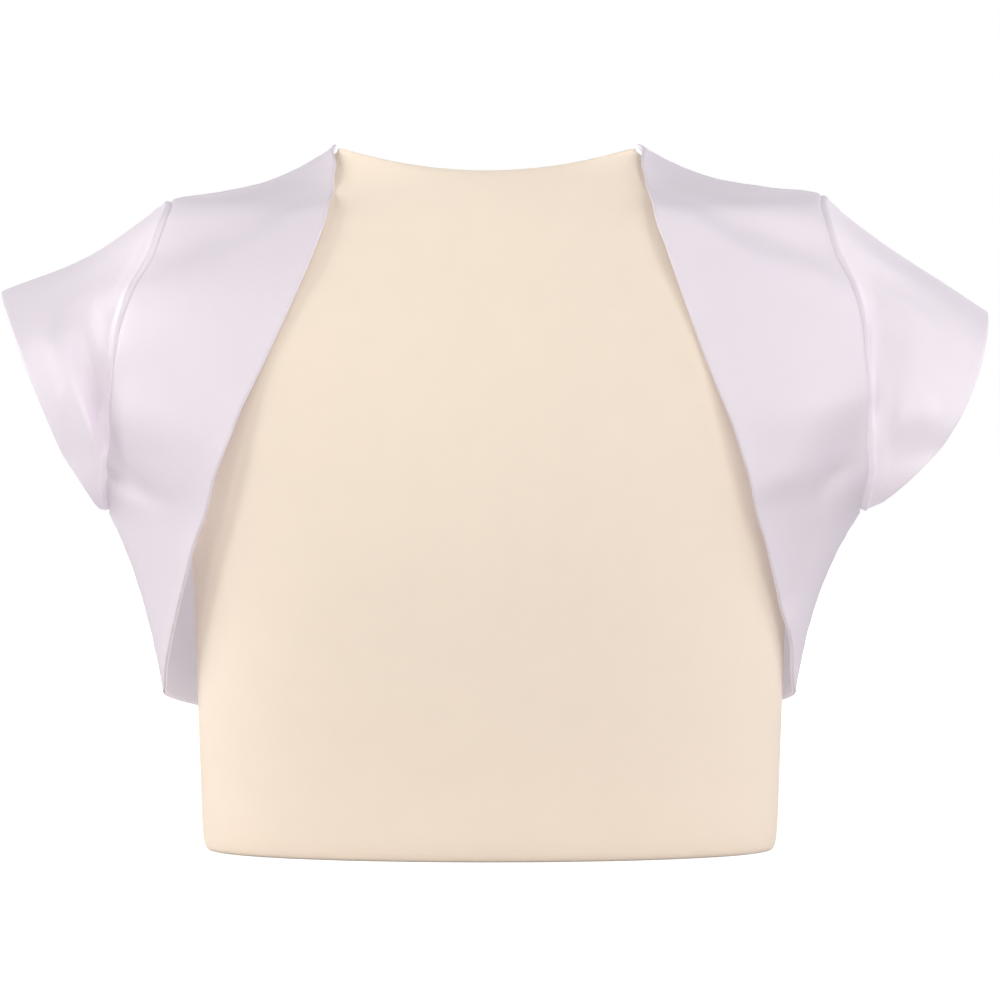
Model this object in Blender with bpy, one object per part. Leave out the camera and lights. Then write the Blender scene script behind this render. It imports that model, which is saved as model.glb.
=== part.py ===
"""Child's satin bolero jacket with cap sleeves, worn on a limbless dress form.

The jacket is cut from two fronts, a back and two sleeves. The fronts curve away from the
neck to the side seams and have no fastening. The form is a smooth torso, capped at the
base of the neck and flat underneath, and the jacket hangs on its shoulders.

Every body piece lies on one smooth skin through rings. On a skin, an angle turns from the
front centre (0) over the wearer's left side (90) to the back (180), and a level counts the
rings upwards. X points to the wearer's left, Y to the back and Z up.
"""

import math
from collections import namedtuple

import bmesh
import bpy
from mathutils import Vector

MM = 0.001

# Driving sizes, in millimetres. Heights are measured from a level below the base.
BASE_HEIGHT = 6.0
CLOTH = 1.6
SEAM_GAP = 0.3
NECK_POINT_HEIGHT = 292.0
SHOULDER_TIP_HEIGHT = 270.8
ARMPIT_HEIGHT = 144.5
SIDE_HEM_HEIGHT = 69.0
BACK_NECK_LEVEL = 13.2
ARMHOLE_FRONT_DEPTH = 39.0
ARMHOLE_BACK_DEPTH = 43.0
ARMHOLE_NARROWING = 0.14
SLEEVE_HEM_DEPTH = 48.0
SLEEVE_HEM_BACK_SHIFT = 3.0
SLEEVE_UNDER_BACK_SHIFT = 2.0
SLEEVE_FULLNESS = 1.2
SLEEVE_FOLDS_START = 0.15
CENTRE_SHIFT_Y = -4.2

# How much cloth a degree round the body or the arm and a sleeve's whole reach stand for,
# where folds are laid out flat.
BODY_DEGREE = 2.1
SLEEVE_DEGREE = 0.95
SLEEVE_LENGTH = 60.0

# How fast the shoulder's shape fades down a body piece, and the greatest value of the curve
# that a sleeve's top line sags along.
SHOULDER_FADE = 2.5
SAG_PEAK = 4.0 / 27.0

Ring = namedtuple(
    "Ring",
    "name side_z front_z back_z front_width back_width front_depth back_depth ridge sway",
)

# The form's rings. Each has its height at the side, front and back, its half width, its
# depths to the front and back, and how sharply it turns at the side.
FORM_RINGS = [
    # name          side_z front_z back_z width front  back  ridge
    ("base_rim",        6.0,   6.0,   6.0, 112.5, 74.5, 74.0, 0.86),
    ("base_edge",       9.5,   9.5,   9.5, 117.0, 79.0, 78.5, 0.86),
    ("waist",          38.0,  38.0,  38.0, 118.5, 80.5, 79.5, 0.86),
    ("ribs",           80.0,  80.0,  80.0, 120.0, 84.5, 82.5, 0.86),
    ("chest",         120.0, 120.0, 120.0, 121.5, 88.0, 85.5, 0.86),
    ("underarm",      150.0, 150.0, 150.0, 123.0, 87.5, 87.5, 0.86),
    ("arm_low",       180.0, 179.0, 180.0, 126.0, 83.5, 88.5, 0.86),
    ("arm_mid",       208.0, 205.0, 208.0, 128.5, 77.0, 87.5, 0.88),
    ("arm_high",      232.0, 228.0, 233.0, 129.5, 67.5, 83.0, 0.93),
    ("shoulder_edge", 251.0, 246.0, 253.0, 128.0, 58.0, 75.0, 1.05),
    ("shoulder_tip",  265.9, 261.0, 267.4, 121.0, 51.0, 65.5, 1.30),
    ("shoulder",      272.3, 269.2, 274.2, 104.5, 45.8, 56.4, 1.55),
    ("shoulder_in",   277.0, 274.7, 277.7,  86.2, 42.2, 50.4, 1.60),
    ("neck_base",     282.4, 279.0, 280.4,  71.2, 39.0, 45.8, 1.40),
    ("neck_side",     288.0, 281.8, 282.0,  62.0, 36.4, 42.4, 1.15),
    ("neck_crest",    290.3, 283.2, 283.2,  57.4, 33.8, 39.8, 1.00),
    ("cap_edge",      289.0, 283.6, 283.4,  53.2, 31.2, 37.2, 1.00),
    ("cap",           285.6, 283.2, 283.0,  38.0, 22.0, 27.0, 1.00),
    ("cap_middle",    283.8, 282.9, 282.8,  18.0, 10.0, 12.0, 1.00),
    ("cap_centre",    283.0, 282.8, 282.8,   5.0,  3.0,  3.0, 1.00),
]

# The jacket's rings, on its outer face. Between the armpit and the shoulder tip the widths
# say how flat the fronts and the back run out to the armholes.
JACKET_RINGS = [
    # name          side_z front_z back_z front_w back_w front  back  ridge  sway
    ("under_hem",      25.0,  25.0,  25.0, 124.5, 124.5, 84.0, 86.0, 1.00, -4.0),
    ("hem",            55.0,  55.0,  55.0, 127.5, 127.5, 84.0, 90.0, 1.00, -4.2),
    ("low",            80.0,  80.0,  80.0, 131.0, 131.0, 84.0, 92.5, 1.00, -4.4),
    ("side",          105.0, 105.0, 105.0, 137.0, 137.0, 83.5, 94.5, 1.00, -4.2),
    ("high_side",     127.0, 127.0, 127.0, 145.0, 145.0, 82.0, 96.0, 1.00, -3.4),
    ("armpit",        145.0, 145.0, 145.0, 154.2, 154.2, 80.0, 97.0, 1.00, -2.2),
    ("arm_low",       165.0, 165.0, 165.0, 170.0, 165.0, 76.5, 97.5, 1.00, -1.0),
    ("arm_mid",       190.0, 190.0, 190.0, 182.0, 173.0, 72.0, 97.0, 1.00,  0.0),
    ("arm_high",      214.0, 213.0, 214.0, 181.0, 173.0, 68.5, 94.0, 1.00,  0.6),
    ("shoulder_low",  236.0, 233.0, 236.0, 170.0, 165.0, 64.0, 88.5, 1.00,  1.2),
    ("shoulder_edge", 254.0, 249.5, 254.5, 154.0, 151.0, 58.5, 79.5, 1.08,  2.0),
    ("shoulder_tip",  269.8, 263.5, 268.5, 134.5, 134.5, 52.5, 69.0, 1.25,  2.2),
    ("shoulder",      274.0, 271.5, 275.5, 112.0, 112.0, 47.5, 59.5, 1.45,  1.0),
    ("shoulder_in",   278.0, 276.5, 279.0,  91.0,  91.0, 44.0, 53.0, 1.55,  0.0),
    ("neck_base",     283.5, 281.0, 281.8,  74.8,  74.8, 41.5, 49.0, 1.40, -0.6),
    ("neck_side",     289.6, 284.4, 284.2,  65.2,  65.2, 39.5, 46.0, 1.15, -1.2),
    ("neck_top",      297.0, 289.0, 287.0,  58.5,  58.5, 38.0, 44.0, 1.00, -1.8),
]

# The curved front edge, as it is seen from the front, and its last points by angle.
EdgePoint = namedtuple("EdgePoint", "height out")
FRONT_EDGE = [
    EdgePoint(287.5, 61.6),
    EdgePoint(282.0, 62.8),
    EdgePoint(274.0, 64.8),
    EdgePoint(265.0, 67.2),
    EdgePoint(250.0, 71.8),
    EdgePoint(232.0, 78.6),
    EdgePoint(212.0, 87.0),
    EdgePoint(192.0, 96.0),
    EdgePoint(172.0, 103.8),
    EdgePoint(152.5, 109.6),
    EdgePoint(136.0, 113.8),
    EdgePoint(119.7, 118.0),
    EdgePoint(103.0, 122.2),
    EdgePoint(90.0, 125.4),
]
HemPoint = namedtuple("HemPoint", "angle height")
FRONT_EDGE_END = [HemPoint(77.5, 79.0), HemPoint(81.5, 73.0), HemPoint(85.0, 70.3)]
BACK_HEM = [
    HemPoint(90.0, SIDE_HEM_HEIGHT),
    HemPoint(108.0, 64.0),
    HemPoint(128.0, 58.5),
    HemPoint(153.0, 55.0),
    HemPoint(180.0, 54.0),
]

# The back neckline between the neck points, as an angle and a level from the middle's.
BACK_NECK = [(108.0, 1.25), (140.0, 0.5), (180.0, 0.0)]

# Soft folds in the fronts and back: troughs are below zero and ridges above. Each runs from
# one angle and height to another, with a depth at both ends. On side 1 angles turn over the
# wearer's left, and on side -1 over the right.
Fold = namedtuple("Fold", "side angle_a height_a depth_a angle_b height_b depth_b width")
BODY_FOLDS = [
    Fold(-1, 60.0, 205.0, -0.6, 66.0, 166.0, -3.2, 10.0),
    Fold(-1, 78.0, 148.0, -2.2, 58.0, 139.0, -0.4, 7.0),
    Fold(-1, 44.0, 262.0, -1.8, 62.0, 240.0, -1.0, 12.0),
    Fold(1, 57.0, 206.0, -0.8, 52.0, 160.0, -3.2, 10.5),
    Fold(1, 42.0, 262.0, -1.6, 64.0, 248.0, -0.8, 12.0),
    Fold(-1, 118.0, 176.0, -3.4, 131.0, 142.0, -0.4, 10.0),
    Fold(1, 119.0, 172.0, -3.0, 133.0, 132.0, -0.4, 10.0),
    Fold(-1, 136.0, 128.0, 0.0, 139.0, 50.0, 3.2, 14.0),
    Fold(1, 141.0, 122.0, 0.0, 142.0, 50.0, 2.8, 14.0),
    Fold(1, 168.0, 150.0, 0.0, 163.0, 50.0, -2.8, 15.0),
    Fold(-1, 158.0, 140.0, 0.0, 161.0, 50.0, -2.4, 14.0),
    Fold(1, 156.0, 262.0, -1.2, 132.0, 238.0, -1.6, 13.0),
    Fold(-1, 158.0, 260.0, -1.4, 134.0, 234.0, -1.8, 13.0),
]

# Each sleeve: its hem's top, the way from the armpit to its hem, how far the hem's middle
# stands out, and how much the top line sags on its way from the shoulder.
Sleeve = namedtuple("Sleeve", "name side tip_out tip_height under_out under_up hem_bulge top_sag")
SLEEVES = [
    Sleeve("sleeve_left", 1, 203.5, 224.0, 8.5, 3.0, 8.0, 2.0),
    Sleeve("sleeve_right", -1, 200.0, 233.5, 4.0, 0.5, 0.5, 6.0),
]

# Soft folds in the sleeves, from one turn round the arm and reach along it to another.
SleeveFold = namedtuple("SleeveFold", "side turn_a reach_a depth_a turn_b reach_b depth_b width")
SLEEVE_FOLDS = [
    SleeveFold(-1, 50.0, 0.50, -1.0, 98.0, 0.22, -3.4, 7.0),
    SleeveFold(-1, 60.0, 0.80, -0.8, 92.0, 0.62, -1.4, 6.0),
    SleeveFold(1, 40.0, 0.30, -1.4, 96.0, 0.18, -2.6, 7.5),
    SleeveFold(1, 104.0, 0.30, -2.0, 120.0, 0.90, -2.6, 9.0),
    SleeveFold(-1, 312.0, 0.45, -0.8, 262.0, 0.20, -3.0, 8.0),
    SleeveFold(1, 316.0, 0.40, -1.0, 258.0, 0.22, -2.8, 8.0),
    SleeveFold(-1, 232.0, 0.40, -1.0, 244.0, 1.0, -2.2, 8.0),
    SleeveFold(1, 236.0, 0.35, -1.2, 246.0, 1.0, -2.0, 8.0),
]

# Mesh edges along each seam. The pieces that meet at a seam share its number.
SHOULDER_EDGES = 13
ARMHOLE_EDGES = 18
SIDE_EDGES = 10
NECK_EDGES = 12
SLEEVE_EDGES = 10
FORM_GRID = (48, 34)
MERGE_DISTANCE = 0.00001

SATIN_COLOUR = (0.93, 0.89, 0.94, 1.0)
FORM_COLOUR = (0.91, 0.78, 0.64, 1.0)

DEGREE = math.pi / 180.0


def spline(values, place):
    """The Catmull-Rom curve through evenly spaced values, at a place counted in values."""
    last = len(values) - 1
    place = min(max(place, 0.0), float(last))
    i = min(int(place), last - 1)
    t = place - i
    b, c = values[i], values[i + 1]
    a = values[i - 1] if i > 0 else 2 * b - c
    d = values[i + 2] if i + 2 <= last else 2 * c - b
    return b + 0.5 * t * (c - a + t * (2 * a - 5 * b + 4 * c - d + t * (3 * (b - c) + d - a)))


def bump(distance, width):
    """A soft bell that is 1 in the middle and fades out over a few widths."""
    return math.exp(-((distance / width) ** 2))


def fold_at(here, a, b, depth_a, depth_b, width):
    """The height at a flat point of a fold that runs from a to b."""
    share = min(max((here - a).dot(b - a) / (b - a).length_squared, 0.0), 1.0)
    distance = (here - a.lerp(b, share)).length
    return (depth_a + (depth_b - depth_a) * share) * bump(distance, width)


class Skin:
    """A smooth surface through rings, in millimetres."""

    def __init__(self, rings):
        self.columns = {
            column: [getattr(ring, column) for ring in rings]
            for column in Ring._fields
            if column != "name"
        }
        self.top = len(rings) - 1

    def size(self, column, level):
        return spline(self.columns[column], level)

    def point(self, angle, level):
        """The point at an angle in degrees, negative on the wearer's right, and a level."""
        s, c = math.sin(angle * DEGREE), math.cos(angle * DEGREE)
        face = "front" if c >= 0 else "back"
        depth = self.size(face + "_depth", level) * abs(c) ** self.size("ridge", level)
        height = self.size("side_z", level) * s * s + self.size(face + "_z", level) * c * c
        x = self.size("sway", level) + self.size(face + "_width", level) * s
        return Vector((x, -depth if c >= 0 else depth, height))

    def normal(self, angle, level):
        """The outward normal there, which the front and back share where they meet."""
        step_a, step_l = 0.8, 0.02
        level = min(max(level, step_l), self.top - step_l)
        round_it = self.point(angle + step_a, level) - self.point(angle - step_a, level)
        up = self.point(angle, level + step_l) - self.point(angle, level - step_l)
        return round_it.cross(up).normalized()

    def place(self, height, out=None, depth=None, face="front"):
        """The (angle, level) on the left side at a height, and at a distance out or a depth."""

        def angle_at(level):
            if out is not None:
                share = out / self.size(face + "_width", level)
                angle = math.asin(min(share, 1.0)) / DEGREE
            else:
                share = abs(depth) / self.size(face + "_depth", level)
                angle = math.acos(min(share, 1.0) ** (1 / self.size("ridge", level))) / DEGREE
            return angle if face == "front" else 180.0 - angle

        low, high = 0.0, float(self.top)
        for _ in range(50):
            middle = (low + high) / 2
            if self.point(angle_at(middle), middle).z < height:
                low = middle
            else:
                high = middle
        return Vector((angle_at(low), low))


def form_ring(name, side_z, front_z, back_z, width, front, back, ridge):
    return Ring(name, side_z, front_z, back_z, width, width, front, back, ridge, 0.0)


FORM = Skin([form_ring(*row) for row in FORM_RINGS])
JACKET = Skin([Ring(*row) for row in JACKET_RINGS])


class Stretch:
    """A smooth line on a skin through (angle, level) points, walked by its share of length."""

    STEPS = 16

    def __init__(self, skin, points):
        count = self.STEPS * (len(points) - 1)
        self.walked = [
            Vector([spline([p[k] for p in points], i / self.STEPS) for k in (0, 1)])
            for i in range(count + 1)
        ]
        self.along = [0.0]
        for a, b in zip(self.walked, self.walked[1:]):
            self.along.append(self.along[-1] + (skin.point(*b) - skin.point(*a)).length)

    def at(self, share):
        """The (angle, level) there."""
        target = min(max(share, 0.0), 1.0) * self.along[-1]
        for i in range(1, len(self.along)):
            if self.along[i] >= target:
                span = self.along[i] - self.along[i - 1]
                part = (target - self.along[i - 1]) / span if span > 1e-9 else 0.0
                return self.walked[i - 1].lerp(self.walked[i], part)
        return self.walked[-1].copy()


class Border:
    """Stretches laid end to end, each taking its number of mesh edges."""

    def __init__(self, *stretches):
        self.stretches = [(Stretch(JACKET, points), edges) for points, edges in stretches]
        self.edges = sum(edges for _, edges in self.stretches)

    def at(self, share):
        place = share * self.edges
        for stretch, edges in self.stretches:
            if place <= edges + 1e-6:
                return stretch.at(place / edges)
            place -= edges
        return self.stretches[-1][0].at(1.0)


def hem_place(point):
    """The (angle, level) of a point of the hem, below which the rings lie flat."""
    return Vector((point.angle, JACKET.place(point.height, depth=0.0)[1]))


def armhole_points(face, half_depth, rows=12):
    """The armhole's (angle, level) points on the front or the back, from shoulder to armpit."""
    middle = (SHOULDER_TIP_HEIGHT + ARMPIT_HEIGHT) / 2
    half = (SHOULDER_TIP_HEIGHT - ARMPIT_HEIGHT) / 2
    found = []
    for i in range(rows + 1):
        turn = math.pi * i / rows
        depth = half_depth * math.sin(turn) * (1 - ARMHOLE_NARROWING * math.cos(turn))
        found.append(JACKET.place(middle + half * math.cos(turn), depth=depth, face=face))
    return found


NECK_POINT = JACKET.place(NECK_POINT_HEIGHT, depth=0.0)
SIDE_HEM = JACKET.place(SIDE_HEM_HEIGHT, depth=0.0)
EDGE_END = [hem_place(p) for p in FRONT_EDGE_END]
FRONT_ARMHOLE = armhole_points("front", ARMHOLE_FRONT_DEPTH)
BACK_ARMHOLE = armhole_points("back", ARMHOLE_BACK_DEPTH)
SHOULDER_TIP, ARMPIT = FRONT_ARMHOLE[0], FRONT_ARMHOLE[-1]


def coons(top, bottom, left, right):
    """A function of two shares that fills the four borders with a Coons patch.

    The top border's shape fades fast on the way down, which keeps the rows from crossing
    where an armhole runs into the side seam.
    """

    def at(u, v):
        fade = (1 - v) ** SHOULDER_FADE
        edges = top.at(u) * fade + bottom.at(u) * (1 - fade)
        edges += left.at(v) * (1 - u) + right.at(v) * u
        corners = (top.at(0) * (1 - u) + top.at(1) * u) * fade
        corners += (bottom.at(0) * (1 - u) + bottom.at(1) * u) * (1 - fade)
        return edges - corners

    return at


def front_borders():
    edge = [JACKET.place(p.height, out=p.out) for p in FRONT_EDGE]
    rows = ARMHOLE_EDGES + SIDE_EDGES
    return (
        Border(([NECK_POINT, SHOULDER_TIP], SHOULDER_EDGES)),
        Border(([EDGE_END[-1], SIDE_HEM], SHOULDER_EDGES)),
        Border(([NECK_POINT, *edge, *EDGE_END], rows)),
        Border((FRONT_ARMHOLE, ARMHOLE_EDGES), ([ARMPIT, SIDE_HEM], SIDE_EDGES)),
    )


def back_borders():
    def flip(points):
        return [Vector((360.0 - p[0], p[1])) for p in points]

    neck = [NECK_POINT]
    neck += [Vector((angle, BACK_NECK_LEVEL + rise)) for angle, rise in BACK_NECK]
    neck += flip(reversed(neck[:-1]))
    hem = [hem_place(point) for point in BACK_HEM]
    hem += flip(reversed(hem[:-1]))
    shoulder = [SHOULDER_TIP, NECK_POINT]
    side = [ARMPIT, SIDE_HEM]
    return (
        Border(
            (shoulder, SHOULDER_EDGES),
            (neck, NECK_EDGES),
            (flip(reversed(shoulder)), SHOULDER_EDGES),
        ),
        Border((hem, 2 * SHOULDER_EDGES + NECK_EDGES)),
        Border((BACK_ARMHOLE, ARMHOLE_EDGES), (side, SIDE_EDGES)),
        Border((flip(BACK_ARMHOLE), ARMHOLE_EDGES), (flip(side), SIDE_EDGES)),
    )


def fold_height(angle, height):
    """How far the folds move the jacket's body out at an angle and a height."""
    total = 0.0
    for fold in BODY_FOLDS:
        turned = (fold.side * angle) % 360.0
        here = Vector((turned * BODY_DEGREE, height))
        a = Vector((fold.angle_a * BODY_DEGREE, fold.height_a))
        b = Vector((fold.angle_b * BODY_DEGREE, fold.height_b))
        total += fold_at(here, a, b, fold.depth_a, fold.depth_b, fold.width)
    return total


def jacket_point(angle, level):
    """A point of the jacket's outer face, folds included."""
    base = JACKET.point(angle, level)
    return base + JACKET.normal(angle, level) * fold_height(angle, base.z)


class SleeveShape:
    """The outer face of one sleeve, worked out on the wearer's left and mirrored if need be.

    A turn goes round the arm from the shoulder (0) over the front (90) and the underarm
    (180) to the back (270). A reach goes from the armhole (0) to the hem (1).
    """

    FRONT = Stretch(JACKET, FRONT_ARMHOLE)
    BACK = Stretch(JACKET, BACK_ARMHOLE)

    def __init__(self, sleeve):
        self.sleeve = sleeve
        self.side = sleeve.side
        armpit = self.armhole(180.0)
        tip = Vector((sleeve.tip_out, SLEEVE_HEM_BACK_SHIFT, sleeve.tip_height))
        under = armpit + Vector((sleeve.under_out, SLEEVE_UNDER_BACK_SHIFT, sleeve.under_up))
        self.middle, self.up = (tip + under) / 2, (tip - under) / 2
        self.outward = Vector((self.up.z, 0.0, -self.up.x)).normalized()

    def mirror(self, point):
        return Vector((point.x * self.side, point.y, point.z))

    def armhole_place(self, turn):
        turn %= 360.0
        trail, share = (self.FRONT, turn / 180) if turn <= 180 else (self.BACK, 2 - turn / 180)
        angle, level = trail.at(share)
        return self.side * angle, level

    def armhole(self, turn):
        return self.mirror(jacket_point(*self.armhole_place(turn)))

    def hem(self, turn):
        s, c = math.sin(turn * DEGREE), math.cos(turn * DEGREE)
        across = Vector((0.0, -SLEEVE_HEM_DEPTH * s, 0.0))
        return self.middle + self.up * c + across + self.outward * self.sleeve.hem_bulge * s * s

    def smooth(self, turn, reach):
        """The sleeve without its folds."""
        start, chord = self.armhole(turn), self.hem(turn) - self.armhole(turn)
        tangent = self.armhole(turn + 1.0) - self.armhole(turn - 1.0)
        body = self.mirror(JACKET.normal(*self.armhole_place(turn)))
        onward = body.cross(tangent).normalized()
        if onward.dot(chord) < 0:
            onward.negate()
        fullness = SLEEVE_FULLNESS * math.sin(turn * DEGREE) ** 2
        lift = (onward * chord.length - chord) * fullness * reach * (1 - reach) ** 2
        shoulder = max(math.cos(turn * DEGREE), 0.0) ** 2
        sag = self.sleeve.top_sag * shoulder * reach * (1 - reach) ** 2 / SAG_PEAK
        return start + chord * reach + lift - Vector((0.0, 0.0, sag))

    def normal(self, turn, reach):
        step_t, step_r = 1.0, 0.03
        low, high = max(reach - step_r, 0.0), min(reach + step_r, 1.0)
        round_it = self.smooth(turn + step_t, reach) - self.smooth(turn - step_t, reach)
        out = self.smooth(turn, high) - self.smooth(turn, low)
        return round_it.cross(out).normalized()

    def fold_height(self, turn, reach):
        total = 0.0
        for fold in SLEEVE_FOLDS:
            if fold.side == self.side:
                here = Vector((turn * SLEEVE_DEGREE, reach * SLEEVE_LENGTH))
                a = Vector((fold.turn_a * SLEEVE_DEGREE, fold.reach_a * SLEEVE_LENGTH))
                b = Vector((fold.turn_b * SLEEVE_DEGREE, fold.reach_b * SLEEVE_LENGTH))
                total += fold_at(here, a, b, fold.depth_a, fold.depth_b, fold.width)
        return total * min(reach / SLEEVE_FOLDS_START, 1.0)

    def point(self, turn, reach):
        turn %= 360.0
        normal = self.normal(turn, reach)
        return self.mirror(self.smooth(turn, reach) + normal * self.fold_height(turn, reach))

    def seam_inward(self, turn):
        """The way through the cloth at the armhole, shared with the body piece beside it."""
        body = self.mirror(JACKET.normal(*self.armhole_place(turn)))
        arm = self.normal(turn, 0.0)
        return self.mirror((body + arm) / -(1.0 + body.dot(arm)))


SHAPES = {sleeve.side: SleeveShape(sleeve) for sleeve in SLEEVES}


def body_rows(at, columns, side, armholes):
    """The outer points and ways inward of a body piece, mirrored if side is -1.

    armholes gives the columns that start along an armhole: its side, turn and turn per row.
    """
    rows = ARMHOLE_EDGES + SIDE_EDGES
    points, inward = [], []
    for j in range(rows + 1):
        places = [at(i / columns, j / rows) for i in range(columns + 1)]
        points.append([jacket_point(side * angle, level) for angle, level in places])
        inward.append([-JACKET.normal(side * angle, level) for angle, level in places])
    for column, (arm_side, turn, step) in armholes.items():
        for k in range(ARMHOLE_EDGES + 1):
            inward[k][column] = SHAPES[arm_side].seam_inward(turn + step * k)
    return points, inward


def draw_in(points, inward, distance):
    """Moves the border of a grid inwards along the surface, so that a seam keeps its gap."""
    sharpest = 0.35
    rows, columns = len(points) - 1, len(points[0]) - 1
    loop = [(0, i) for i in range(columns)] + [(j, columns) for j in range(rows)]
    loop += [(rows, i) for i in range(columns, 0, -1)] + [(j, 0) for j in range(rows, 0, -1)]
    across = []
    for (j, i), (jj, ii) in zip(loop, loop[1:] + loop[:1]):
        along = points[jj][ii] - points[j][i]
        across.append(along.cross(inward[j][i] + inward[jj][ii]).normalized())
    if across[0].dot(points[1][0] - points[0][0]) < 0:
        across = [-way for way in across]
    moves = [
        (before + after) * distance / max(1.0 + before.dot(after), sharpest)
        for before, after in zip(across[-1:] + across[:-1], across)
    ]
    for (j, i), move in zip(loop, moves):
        points[j][i] += move


def sleeve_rows(shape, columns, rows):
    """The outer points and ways inward of a sleeve, from the armhole to the hem."""
    near = 0.005
    reaches = [near] + [j / rows for j in range(1, rows + 1)]
    turns = [360.0 * i / columns for i in range(columns + 1)]
    points = [[shape.point(turn, reach) for turn in turns] for reach in reaches]
    inward = [[-shape.mirror(shape.normal(turn, reach)) for turn in turns] for reach in reaches]
    for i, turn in enumerate(turns):
        start = shape.mirror(shape.armhole(turn))
        points[0][i] = start + (points[1][i] - start).normalized() * SEAM_GAP / 2
        inward[0][i] = shape.seam_inward(turn)
    return points, inward


def form_rows(columns, rows):
    return [
        [FORM.point(360.0 * i / columns, FORM.top * j / rows) for i in range(columns + 1)]
        for j in range(rows + 1)
    ]


def material(name, colour, roughness):
    made = bpy.data.materials.new(name)
    made.use_nodes = True
    shader = made.node_tree.nodes["Principled BSDF"]
    shader.inputs["Base Color"].default_value = colour
    shader.inputs["Roughness"].default_value = roughness
    return made


def grid_mesh(points, closed_round):
    """A mesh grid with its vertices at the rows of points given, and its grid places."""
    rows, columns = len(points) - 1, len(points[0]) - 1
    mesh = bmesh.new()
    bmesh.ops.create_grid(mesh, x_segments=columns, y_segments=rows, size=0.5)
    column, row = mesh.verts.layers.int.new("column"), mesh.verts.layers.int.new("row")
    for vertex in mesh.verts:
        vertex[column] = round((vertex.co.x + 0.5) * columns)
        vertex[row] = round((vertex.co.y + 0.5) * rows)
        vertex.co = points[vertex[row]][vertex[column]] * MM
    if closed_round:
        bmesh.ops.remove_doubles(mesh, verts=mesh.verts, dist=MERGE_DISTANCE)
    return mesh, column, row


def add_object(name, mesh, surface, collection, root):
    bmesh.ops.recalc_face_normals(mesh, faces=mesh.faces)
    if mesh.calc_volume(signed=True) < 0:
        bmesh.ops.reverse_faces(mesh, faces=mesh.faces)
    data = bpy.data.meshes.new(name)
    mesh.to_mesh(data)
    mesh.free()
    data.materials.append(surface)
    data.shade_smooth()
    made = bpy.data.objects.new(name, data)
    collection.objects.link(made)
    made.parent = root


def add_cloth(name, points, inward, surface, collection, root, closed_round=False):
    """One piece of cloth: its outer face, an inner face and the edges between them."""
    mesh, column, row = grid_mesh(points, closed_round)
    whole = mesh.verts[:] + mesh.edges[:] + mesh.faces[:]
    copy = bmesh.ops.extrude_face_region(mesh, geom=whole, use_keep_orig=True)
    for vertex in copy["geom"]:
        if isinstance(vertex, bmesh.types.BMVert):
            j, i = vertex[row], vertex[column]
            vertex.co = (points[j][i] + inward[j][i] * CLOTH) * MM
    add_object(name, mesh, surface, collection, root)


def main():
    for old in list(bpy.data.objects):
        bpy.data.objects.remove(old)
    collection = bpy.data.collections.new("Bolero jacket")
    bpy.context.scene.collection.children.link(collection)
    root = bpy.data.objects.new("root", None)
    collection.objects.link(root)
    root.location = (0.0, CENTRE_SHIFT_Y * MM, -BASE_HEIGHT * MM)

    satin = material("Satin", SATIN_COLOUR, 0.4)
    cover = material("Form cover", FORM_COLOUR, 0.85)
    step = 180.0 / ARMHOLE_EDGES
    front = coons(*front_borders())
    for name, side in (("front_left", 1), ("front_right", -1)):
        armhole = {SHOULDER_EDGES: (side, 0.0, step)}
        points, inward = body_rows(front, SHOULDER_EDGES, side, armhole)
        draw_in(points, inward, SEAM_GAP / 2)
        add_cloth(name, points, inward, satin, collection, root)

    columns = 2 * SHOULDER_EDGES + NECK_EDGES
    armholes = {0: (1, 360.0, -step), columns: (-1, 360.0, -step)}
    points, inward = body_rows(coons(*back_borders()), columns, 1, armholes)
    draw_in(points, inward, SEAM_GAP / 2)
    add_cloth("back", points, inward, satin, collection, root)

    for sleeve in SLEEVES:
        points, inward = sleeve_rows(SHAPES[sleeve.side], 2 * ARMHOLE_EDGES, SLEEVE_EDGES)
        add_cloth(sleeve.name, points, inward, satin, collection, root, closed_round=True)

    mesh, _, _ = grid_mesh(form_rows(*FORM_GRID), closed_round=True)
    bmesh.ops.holes_fill(mesh, edges=mesh.edges, sides=0)
    add_object("dress_form", mesh, cover, collection, root)


main()
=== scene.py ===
"""A child's satin bolero jacket with cap sleeves, on a limbless dress form in a pale studio.

The jacket is cut from two fronts, a back and two sleeves. Each piece is a thin shell whose
free edges are turned in and rolled, and whose seams sink between the pieces. Lengths are in
millimetres unless a property says otherwise. Angles turn from the front centre (0) over the
wearer's left side (90) to the back (180), and a level counts a skin's rings upwards.
"""

import math
from collections import namedtuple
from functools import cache

import bmesh
import bpy
from bpy.props import FloatProperty, FloatVectorProperty, PointerProperty
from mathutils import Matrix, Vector, kdtree, noise


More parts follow.
